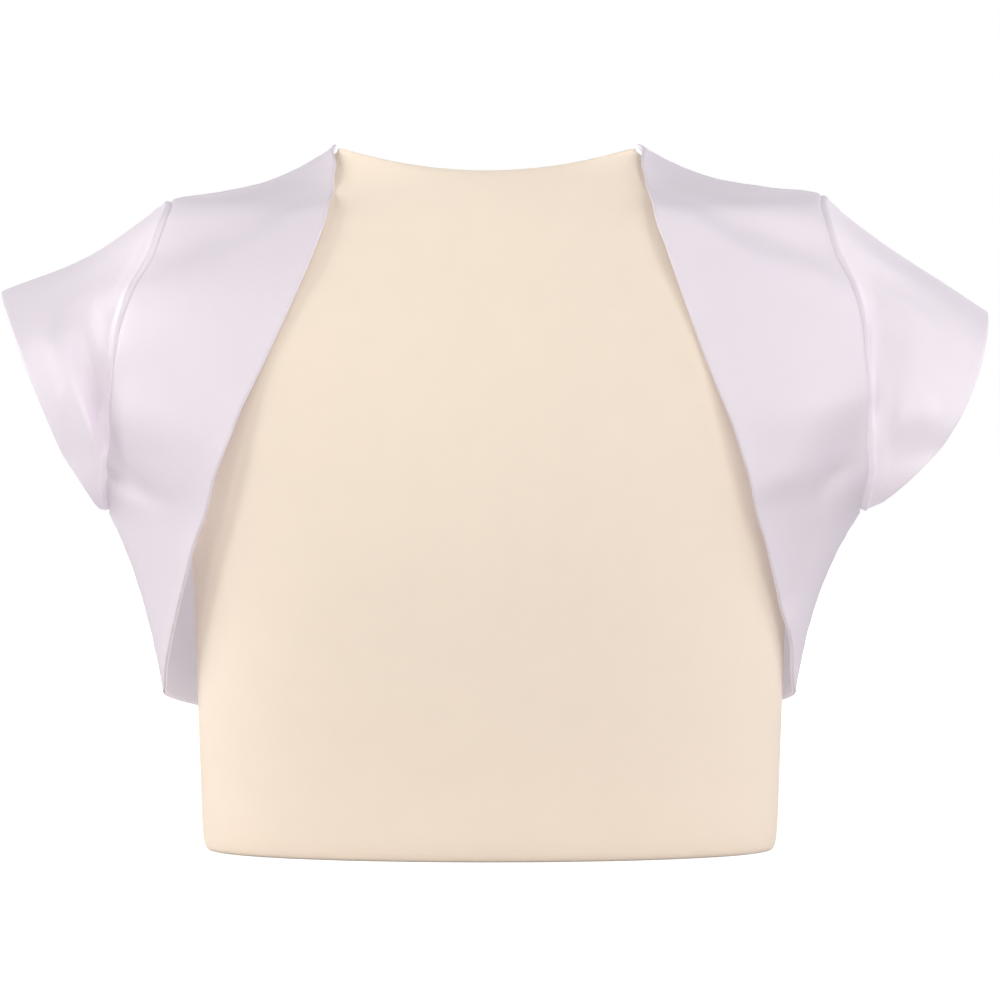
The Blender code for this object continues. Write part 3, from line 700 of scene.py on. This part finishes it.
def body_spots(patch, side, across):
    """The points, ways out and straight-grain places of a body piece, row by row."""
    rows = []
    for v in shares((ARMHOLE_LENGTH, ARMHOLE_PART), (SIDE_LENGTH, SIDE_PART)):
        row = []
        for u in across:
            angle, level = patch(u, v)
            angle *= side
            point, way = JACKET.point(angle, level), JACKET.normal(angle, level)
            grain = ((angle % 360.0) * BODY_DEGREE, point.z)
            row.append(Spot(point + way * body_fold(angle, point.z), way, grain))
        rows.append(row)
    return rows


def sleeve_spots(shape, turns, reaches):
    rows = []
    for reach in reaches:
        row = []
        for turn in turns:
            way = shape.normal(turn % 360.0, reach)
            point = shape.smooth(turn, reach) + way * shape.fold_height(turn % 360.0, reach)
            grain = (turn * SLEEVE_DEGREE, -reach * SLEEVE_LENGTH)
            row.append(Spot(shape.mirror(point), shape.mirror(way), grain))
        rows.append(row)
    return rows


def between(a, b, spacing=0.3):
    """Points from a up to b, not with it."""
    count = max(int((b - a).length / spacing), 1)
    return [a.lerp(b, i / count) for i in range(count)]


def chain(points):
    """Points close together along a line of points."""
    found = []
    for a, b in zip(points, points[1:]):
        found += between(a, b)
    return found + [points[-1]]


def armhole_line(side):
    """The armhole's points with the way out of the cloth that both pieces share there."""
    turns = [1.0 * i for i in range(361)]
    corners = [SHAPES[side].mirror(SHAPES[side].armhole(turn)) for turn in turns]
    ways = [SHAPES[side].seam_way(turn) for turn in turns]
    points, kept = [], []
    for i in range(360):
        run = between(corners[i], corners[i + 1])
        points += run
        kept += [ways[i].lerp(ways[i + 1], k / len(run)) for k in range(len(run))]
    return points, kept


class Cloth:
    """Turns a piece's spots into a shell with rolled edges and sunken seams."""

    def __init__(self, seams, edges, armholes, pressed=0.0):
        sizes = bpy.context.scene.bolero_cloth
        self.half = sizes.thickness / MM / 2
        self.edge_half = sizes.edge_thickness / MM / 2
        self.band = sizes.edge_band / MM
        self.depth = sizes.seam_depth / MM
        self.width = sizes.seam_width / MM
        self.rise = sizes.allowance_height / MM * pressed
        self.roll = sizes.seam_roll / MM * pressed
        self.allowance = sizes.allowance_width / MM
        self.pucker = sizes.pucker / MM
        self.ripple = sizes.ripple / MM
        self.seams, self.edges, self.armholes = seams, edges, armholes

    def walls(self, spot):
        """The outer and inner points of the shell at a spot."""
        way, lift = spot.way, 0.0
        to_armhole, _, shared = self.armholes.nearest(spot.point)
        if to_armhole < SHARED_WAY_REACH:
            way = shared.lerp(way, smooth_step(to_armhole / SHARED_WAY_REACH)).normalized()
        to_seam, seam_point, _ = self.seams.nearest(spot.point)
        to_edge, _, _ = self.edges.nearest(spot.point)
        lift -= self.depth * math.exp(-to_seam / self.width)
        up = smooth_step(to_seam / (ALLOWANCE_RISE * self.width))
        past_flat = to_seam - self.allowance * ALLOWANCE_FLAT
        down = smooth_step(past_flat / (self.allowance * ALLOWANCE_FALL))
        lift += self.rise * up * (1 - down) + self.roll * bell(to_seam - ROLL_PLACE, ROLL_WIDTH)
        lift *= smooth_step(to_edge / self.band)
        wave = sum(part * noise.noise(seam_point / size) for size, part in PUCKER_WAVES)
        lift += self.pucker * wave * bell(to_seam - PUCKER_PLACE, PUCKER_WIDTH)
        across = Vector([place / size for place, size in zip(spot.point, RIPPLE_LENGTHS)])
        lift += self.ripple * noise.noise(across) * smooth_step(to_seam / RIPPLE_START)

        swell = 1 - smooth_step(to_edge / self.band)
        half = self.half + (self.edge_half - self.half) * swell
        roll = min(to_edge / half, 1.0)
        wall = max(half * math.sqrt(1 - (1 - roll) ** 2), LEAST_WALL)
        middle = spot.point + way * (lift - self.half)
        return middle + way * wall, middle - way * wall

    def shell(self, rows, closed_round=False):
        """The closed mesh of the shell, with its grain as UVs and its inside on slot 1."""
        columns, lines = len(rows[0]) - 1, len(rows) - 1
        mesh = bmesh.new()
        bmesh.ops.create_grid(mesh, x_segments=columns, y_segments=lines, size=0.5)
        column, row = mesh.verts.layers.int.new("column"), mesh.verts.layers.int.new("row")
        for vertex in mesh.verts:
            vertex[column] = round((vertex.co.x + 0.5) * columns)
            vertex[row] = round((vertex.co.y + 0.5) * lines)
        grain = mesh.loops.layers.uv.new("grain")
        for face in mesh.faces:
            face.smooth = True
            for loop in face.loops:
                spot = rows[loop.vert[row]][loop.vert[column]]
                loop[grain].uv = (spot.grain[0] * MM, spot.grain[1] * MM)
        walls = [[self.walls(spot) for spot in line] for line in rows]
        for vertex in mesh.verts:
            vertex.co = in_frame(walls[vertex[row]][vertex[column]][0])
        if closed_round:
            bmesh.ops.remove_doubles(mesh, verts=mesh.verts, dist=0.000001)
        outer = mesh.verts[:] + mesh.edges[:] + mesh.faces[:]
        inside = bmesh.ops.extrude_face_region(mesh, geom=outer, use_keep_orig=True)
        for part in inside["geom"]:
            if isinstance(part, bmesh.types.BMVert):
                part.co = in_frame(walls[part[row]][part[column]][1])
            if isinstance(part, bmesh.types.BMFace):
                part.material_index = 1
        bmesh.ops.recalc_face_normals(mesh, faces=mesh.faces)
        if mesh.calc_volume(signed=True) < 0:
            bmesh.ops.reverse_faces(mesh, faces=mesh.faces)
        return mesh


def in_frame(point):
    """A point of the pattern in the frame's metres."""
    return (point + PATTERN_ORIGIN) * MM


def outline(rows):
    """The four border lines of a piece's spots: top, right, bottom and left."""
    top = [spot.point for spot in rows[0]]
    bottom = [spot.point for spot in rows[-1]]
    left = [line[0].point for line in rows]
    right = [line[-1].point for line in rows]
    return top, right, bottom, left


def finished(name, mesh, materials):
    """The mesh as an object of the scene with its materials."""
    data = bpy.data.meshes.new(name)
    mesh.to_mesh(data)
    mesh.free()
    for material in materials:
        data.materials.append(material)
    made = bpy.data.objects.new(name, data)
    bpy.context.scene.collection.objects.link(made)
    return made


def sewn_on(piece, node):
    """Hangs a piece of cloth, which stands for a node, from the root and hides that node's own part.
    """
    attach(piece, "root")
    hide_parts(node)


class Nodes:
    """A tree of shader nodes."""

    def __init__(self, tree):
        self.nodes, self.links = tree.nodes, tree.links

    def add(self, kind, **inputs):
        """A node whose inputs are set to values or linked to other nodes' outputs."""
        node = self.nodes.new(kind)
        self.feed(node, **inputs)
        return node

    def feed(self, node, **inputs):
        for name, value in inputs.items():
            socket = node.inputs[name.replace("_", " ")]
            if isinstance(value, bpy.types.NodeSocket):
                self.links.new(value, socket)
            else:
                socket.default_value = value

    def blend(self, factor, low, high):
        """The colour between two colours at a factor."""
        mix = self.nodes.new("ShaderNodeMix")
        mix.data_type = "RGBA"
        self.feed(mix, Factor=factor, A=low, B=high)
        return mix.outputs["Result"]

    def end_in(self, output, seen, unseen):
        """Ends the tree in one shader for what the camera sees and another for all else."""
        ray = self.add("ShaderNodeLightPath").outputs["Is Camera Ray"]
        mix = self.add("ShaderNodeMixShader", Fac=ray)
        self.links.new(unseen.outputs[0], mix.inputs[1])
        self.links.new(seen.outputs[0], mix.inputs[2])
        self.feed(self.nodes[output], Surface=mix.outputs["Shader"])


class Shader(Nodes):
    """A material's nodes around one Principled shader."""

    def __init__(self, name):
        self.material = bpy.data.materials.new(name)
        self.material.use_nodes = True
        super().__init__(self.material.node_tree)
        self.principled = self.nodes["Principled BSDF"]

    def grain(self):
        """Places in metres across and along the straight grain."""
        node = self.add("ShaderNodeUVMap")
        node.uv_map = "grain"
        return node.outputs["UV"]

    def stretched(self, source, scale):
        """Coordinates scaled to the number of features in a metre."""
        return self.add("ShaderNodeMapping", Vector=source, Scale=scale).outputs["Vector"]

    def clouds(self, source, scale, detail):
        """Soft noise with so many features in a metre."""
        source = self.stretched(source, scale)
        return self.add("ShaderNodeTexNoise", Vector=source, Detail=detail).outputs["Fac"]

    def bump(self, height, **inputs):
        """The surface's normal, turned by the slopes of a height."""
        return self.add("ShaderNodeBump", Height=height, **inputs).outputs["Normal"]


# How many features the patterns have in a metre: the patches of tint along the frame's axes,
# and the threads across and along the grain.
SATIN_PATCHES = (9.0, 9.0, 9.0)
SATIN_FLOATS = (7000.0, 900.0, 1.0)
SATIN_SLUBS = (60.0, 160.0, 1.0)
LINING_WEAVE = (3500.0, 3500.0, 1.0)
COVER_PATCHES = (14.0, 14.0, 14.0)
COVER_STITCHES = (1500.0, 1500.0, 700.0)

# The cover's darker patches, as a share of its colour.
COVER_SHADE = 0.97


def satin_material(name="bolero_satin", painted_glow=False):
    """Satin with long floats across the grain, a soft sheen and a faint change of colour."""
    colours = bpy.context.scene.bolero_colours
    shader = Shader(name)
    grain = shader.grain()
    place = shader.add("ShaderNodeTexCoord").outputs["Object"]
    patches = shader.clouds(place, SATIN_PATCHES, detail=1.0)
    floats = shader.clouds(grain, SATIN_FLOATS, detail=1.0)
    slubs = shader.clouds(grain, SATIN_SLUBS, detail=2.0)
    uneven = shader.bump(slubs, Distance=0.0006, Strength=0.10)
    shader.feed(
        shader.principled,
        Base_Color=shader.blend(patches, colours.satin, colours.satin_warm),
        Metallic=0.2, Roughness=0.56, Specular_IOR_Level=0.55, Anisotropic=0.2,
        Sheen_Weight=0.08, Sheen_Roughness=0.4, Sheen_Tint=(1.0, 0.96, 0.98, 1.0),
        Normal=shader.bump(floats, Distance=0.00005, Strength=0.25, Normal=uneven),
    )
    # Painted light: the sleeves glow, more strongly low down, in place of light shining through
    # them.
    if painted_glow:
        height = shader.add("ShaderNodeSeparateXYZ", Vector=place).outputs["Z"]
        share = shader.add(
            "ShaderNodeMapRange", Value=height,
            From_Min=SLEEVE_PAINTED_GLOW_HEIGHTS[0], From_Max=SLEEVE_PAINTED_GLOW_HEIGHTS[1],
        )
        low, high = (
            [strength * channel for channel in colours.satin[:3]] + [1.0]
            for strength in (SLEEVE_PAINTED_GLOW_LOW, SLEEVE_PAINTED_GLOW_HIGH)
        )
        glow = shader.blend(share.outputs["Result"], low, high)
        shader.feed(shader.principled, Emission_Color=glow, Emission_Strength=1.0)
    return shader.material


def lining_material():
    """The inside of the cloth: the same white, flatter and with a plain weave. Its faint glow is
    painted light, standing in for light that reaches the shaded inside.
    """
    colour = bpy.context.scene.bolero_colours.lining
    shader = Shader("bolero_lining")
    weave = shader.clouds(shader.grain(), LINING_WEAVE, detail=1.0)
    shader.feed(
        shader.principled,
        Base_Color=colour, Roughness=0.62, Specular_IOR_Level=0.4,
        # Painted light: the emission brightens the shaded inside of the jacket.
        Emission_Color=colour, Emission_Strength=0.28,
        Normal=shader.bump(weave, Distance=0.00005, Strength=0.3),
    )
    return shader.material


def cover_material():
    """The form's stretched jersey: cream, matt and finely ribbed."""
    colour = bpy.context.scene.bolero_colours.cover
    darker = [COVER_SHADE * channel for channel in colour[:3]] + [1.0]
    shader = Shader("bolero_cover")
    place = shader.add("ShaderNodeTexCoord").outputs["Object"]
    patches = shader.clouds(place, COVER_PATCHES, detail=2.0)
    stitches = shader.clouds(place, COVER_STITCHES, detail=2.0)
    shader.feed(
        shader.principled,
        Base_Color=shader.blend(patches, darker, colour),
        Roughness=0.85, Specular_IOR_Level=0.25, Sheen_Weight=0.15, Sheen_Roughness=0.6,
        Normal=shader.bump(stitches, Distance=0.00025, Strength=0.35),
    )
    return shader.material


def shared_material(name, make):
    """The material of that name, made the first time it is asked for.

    The frame brings materials named after its slots, so the names here start with bolero.
    """
    return bpy.data.materials.get(name) or make()


# The sleeves' satin: a lit copy of the satin, with painted glow.
def sleeve_satin_painted_glow_material():
    return satin_material("bolero_sleeve_satin_painted_glow", painted_glow=True)


def cloth_materials(satin_name="bolero_satin", make_satin=satin_material):
    satin = shared_material(satin_name, make_satin)
    return [satin, shared_material("bolero_lining", lining_material)]


class BOLERO_OT_form(bpy.types.Operator):
    """Makes the smooth limbless form that the jacket is worn on"""

    bl_idname = "bolero.add_form"
    bl_label = "Dress Form"

    ROUND, UP = 192, 152

    def execute(self, context):
        mesh = bmesh.new()
        bmesh.ops.create_grid(mesh, x_segments=self.ROUND, y_segments=self.UP, size=0.5)
        for vertex in mesh.verts:
            angle = (vertex.co.x + 0.5) * 360.0
            level = (vertex.co.y + 0.5) * FORM.top
            vertex.co = in_frame(FORM.point(angle, level))
        bmesh.ops.remove_doubles(mesh, verts=mesh.verts, dist=0.00001)
        bmesh.ops.holes_fill(mesh, edges=mesh.edges, sides=0)
        bmesh.ops.recalc_face_normals(mesh, faces=mesh.faces)
        for face in mesh.faces:
            face.smooth = len(face.verts) == 4
        form = finished("form", mesh, [shared_material("bolero_cover", cover_material)])
        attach(form, "root")
        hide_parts("dress_form")
        return {"FINISHED"}


class BOLERO_OT_fronts(bpy.types.Operator):
    """Cuts and hangs the two curved fronts"""

    bl_idname = "bolero.add_fronts"
    bl_label = "Fronts"

    FLAT = (0.110, 0.236)
    AREAS = {1: 0.0153, -1: 0.0145}

    def execute(self, context):
        across = shares((SHOULDER_LENGTH, SHOULDER_PART))
        for node, side in (("front_left", 1), ("front_right", -1)):
            rows = body_spots(front_patch(side), side, across)
            top, right, bottom, left = (chain(line) for line in outline(rows))
            armholes = Lines(*armhole_line(side))
            cloth = Cloth(Lines(top + right), Lines(left + bottom), armholes)
            piece = finished(node + "_cloth", cloth.shell(rows), cloth_materials())
            sewn_on(piece, node)
        return {"FINISHED"}


class BOLERO_OT_back(bpy.types.Operator):
    """Cuts and hangs the back, in one piece"""

    bl_idname = "bolero.add_back"
    bl_label = "Back"

    FLAT = (0.370, 0.245)
    AREA = 0.0866

    def execute(self, context):
        shoulder = (SHOULDER_LENGTH, SHOULDER_PART)
        across = shares(shoulder, (NECK_LENGTH, NECK_PART), shoulder)
        rows = body_spots(back_patch(), 1, across)
        top, right, bottom, left = outline(rows)
        first = across.index(min(across, key=lambda u: abs(u - SHOULDER_PART / BACK_PARTS)))
        neck = chain(top[first:len(top) - first])
        seams = chain(top[:first + 1]) + chain(top[len(top) - first - 1:])
        seams += chain(left) + chain(right)
        points, ways = armhole_line(1)
        more_points, more_ways = armhole_line(-1)
        armholes = Lines(points + more_points, ways + more_ways)
        cloth = Cloth(Lines(seams), Lines(neck + chain(bottom)), armholes, pressed=0.5)
        piece = finished("back_cloth", cloth.shell(rows), cloth_materials())
        sewn_on(piece, "back")
        return {"FINISHED"}


class BOLERO_OT_sleeves(bpy.types.Operator):
    """Cuts the two cap sleeves and sets them into the armholes"""

    bl_idname = "bolero.add_sleeves"
    bl_label = "Sleeves"

    FLAT = (0.300, 0.078)
    AREAS = {1: 0.0128, -1: 0.0113}

    def execute(self, context):
        step = context.scene.bolero_cloth.mesh_step / MM
        columns = round(2 * ARMHOLE_LENGTH / step)
        turns = [360.0 * i / columns for i in range(columns + 1)]
        reaches = shares((SLEEVE_LENGTH, 1))
        for sleeve in SLEEVES:
            shape = SHAPES[sleeve.side]
            rows = sleeve_spots(shape, turns, reaches)
            points, ways = armhole_line(sleeve.side)
            hem = chain([spot.point for spot in rows[-1]])
            cloth = Cloth(Lines(points), Lines(hem), Lines(points, ways), pressed=1.0)
            mesh = cloth.shell(rows, closed_round=True)
            materials = cloth_materials("bolero_sleeve_satin_painted_glow", sleeve_satin_painted_glow_material)
            piece = finished(sleeve.name + "_cloth", mesh, materials)
            sewn_on(piece, sleeve.name)
        return {"FINISHED"}


# The studio's soft lights: from where each shines, as degrees to the right of the camera and
# above the floor, its side in metres, its power in watts and its colour. All of them face the
# jacket from the same distance.
Lamp = namedtuple("Lamp", "name azimuth elevation side power colour")
LAMPS = [
    Lamp("front", 0, 30, 1.2, 13.0, (1.0, 0.97, 0.97)),
    Lamp("low_left", -42, 8, 1.2, 12.0, (1.0, 0.96, 0.90)),
    Lamp("low_right", 42, 8, 1.2, 13.0, (1.0, 0.96, 0.93)),
    Lamp("side_left", -80, 5, 1.2, 12.0, (1.0, 0.95, 0.94)),
    Lamp("side_right", 66, 6, 1.2, 10.5, (1.0, 0.97, 1.0)),
    Lamp("high_left", -80, 25, 1.2, 20.0, (1.0, 0.97, 0.98)),
    Lamp("high_right", 62, 50, 1.2, 16.0, (1.0, 0.97, 1.0)),
    Lamp("rim_left", -110, 20, 1.2, 22.0, (1.0, 0.96, 0.96)),
    Lamp("rim_right", 110, 20, 1.2, 18.0, (1.0, 0.97, 1.0)),
    Lamp("back_fill", 172, 20, 1.8, 8.0, (1.0, 0.98, 0.98)),
]
LAMP_DISTANCE = 3.1

# The place in metres that the lamps and the camera look at.
TARGET = Vector((0.0041, 0.0, 0.1424))

# The pale floor that is seen glows more away from the form, so that it meets the background.
# What it throws back onto the jacket is a plain grey floor's light.
FLOOR_FADE = (0.8, 0.8, 0.8)
NEAR_FLOOR = (0.45, 0.45, 0.45, 1.0)
FAR_FLOOR = (0.95, 0.95, 0.95, 1.0)
THROWING_FLOOR = (0.66, 0.65, 0.67, 1.0)

# The light from all round, at the horizon and straight above.
AMBIENT_LOW = (0.53, 0.52, 0.54, 1.0)
AMBIENT_HIGH = (0.23, 0.23, 0.25, 1.0)


def seen_from(azimuth, elevation, distance):
    """The place at an angle right of the camera's and above the floor, and so far away."""
    level = math.cos(elevation)
    way = Vector((math.sin(azimuth) * level, -math.cos(azimuth) * level, math.sin(elevation)))
    return TARGET + way * distance


def facing(place):
    """The turn that makes a lamp or camera at a place look at the target."""
    return (TARGET - place).to_track_quat("-Z", "Y").to_euler()


class BOLERO_OT_studio(bpy.types.Operator):
    """Sets up the pale floor, the soft lights and the camera"""

    bl_idname = "bolero.add_studio"
    bl_label = "Studio"

    def execute(self, context):
        sizes = context.scene.bolero_studio
        self.add_floor(sizes.floor_radius)
        for lamp in LAMPS:
            self.add_lamp(lamp)
        self.add_ambient(context.scene)
        self.add_camera(context.scene, sizes)
        return {"FINISHED"}

    def add_floor(self, radius):
        mesh = bmesh.new()
        bmesh.ops.create_circle(mesh, cap_ends=True, segments=128, radius=radius)
        shader = Shader("floor")
        place = shader.add("ShaderNodeTexCoord").outputs["Object"]
        fade = shader.add("ShaderNodeTexGradient", Vector=shader.stretched(place, FLOOR_FADE))
        fade.gradient_type = "SPHERICAL"
        glow = shader.blend(fade.outputs["Fac"], FAR_FLOOR, NEAR_FLOOR)
        shader.feed(
            shader.principled,
            Base_Color=(0.90, 0.90, 0.90, 1.0), Roughness=0.9, Specular_IOR_Level=0.0,
            Emission_Color=glow, Emission_Strength=1.0,
        )
        plain = shader.add("ShaderNodeBsdfDiffuse", Color=THROWING_FLOOR)
        shader.end_in("Material Output", seen=shader.principled, unseen=plain)
        floor = finished("floor", mesh, [shader.material])

    def add_lamp(self, lamp):
        data = bpy.data.lights.new(lamp.name, "AREA")
        data.shape = "RECTANGLE"
        data.size = data.size_y = lamp.side
        data.energy = lamp.power
        data.color = lamp.colour
        light = bpy.data.objects.new(lamp.name, data)
        azimuth, elevation = lamp.azimuth * DEGREE, lamp.elevation * DEGREE
        light.location = seen_from(azimuth, elevation, LAMP_DISTANCE)
        light.rotation_euler = facing(light.location)
        light.visible_camera = False
        bpy.context.scene.collection.objects.link(light)

    def add_ambient(self, scene):
        """A soft light from all round, weaker from above, and a plain white background."""
        world = bpy.data.worlds.new("studio")
        world.use_nodes = True
        tree = Nodes(world.node_tree)
        way = tree.add("ShaderNodeTexCoord").outputs["Generated"]
        height = tree.add("ShaderNodeSeparateXYZ", Vector=way).outputs["Z"]
        ambient = tree.nodes["Background"]
        tree.feed(ambient, Color=tree.blend(height, AMBIENT_LOW, AMBIENT_HIGH))
        white = tree.add("ShaderNodeBackground", Color=(1.0, 1.0, 1.0, 1.0))
        tree.end_in("World Output", seen=white, unseen=ambient)
        scene.world = world
        scene.view_settings.view_transform = "Standard"

    def add_camera(self, scene, sizes):
        data = bpy.data.cameras.new("camera")
        data.lens = sizes.lens
        camera = bpy.data.objects.new("camera", data)
        camera.location = seen_from(0.0, sizes.camera_elevation, sizes.camera_distance)
        camera.rotation_euler = facing(camera.location)
        scene.collection.objects.link(camera)
        scene.camera = camera


STEPS = (
    BOLERO_OT_form,
    BOLERO_OT_back,
    BOLERO_OT_fronts,
    BOLERO_OT_sleeves,
    BOLERO_OT_studio,
)


class BOLERO_PT_steps(bpy.types.Panel):
    """Lists the sizes and the steps that make the jacket"""

    bl_label = "Bolero Jacket"
    bl_space_type = "VIEW_3D"
    bl_region_type = "UI"
    bl_category = "Bolero"

    def draw(self, context):
        scene, layout = context.scene, self.layout
        for group in (scene.bolero_cloth, scene.bolero_colours, scene.bolero_studio):
            box = layout.box()
            for name in group.bl_rna.properties.keys():
                if name not in ("rna_type", "name"):
                    box.prop(group, name)
        for step in STEPS:
            layout.operator(step.bl_idname)


GROUPS = {
    "bolero_cloth": ClothSizes,
    "bolero_colours": ClothColours,
    "bolero_studio": StudioSizes,
}
CLASSES = (*GROUPS.values(), *STEPS, BOLERO_PT_steps)


def register():
    for cls in CLASSES:
        bpy.utils.register_class(cls)
    for name, group in GROUPS.items():
        setattr(bpy.types.Scene, name, PointerProperty(type=group))


def unregister():
    for name in GROUPS:
        delattr(bpy.types.Scene, name)
    for cls in reversed(CLASSES):
        bpy.utils.unregister_class(cls)


def main():
    register()
    bpy.ops.bolero.add_form()
    bpy.ops.bolero.add_back()
    bpy.ops.bolero.add_fronts()
    bpy.ops.bolero.add_sleeves()
    bpy.ops.bolero.add_studio()


if __name__ == "__main__":
    main()
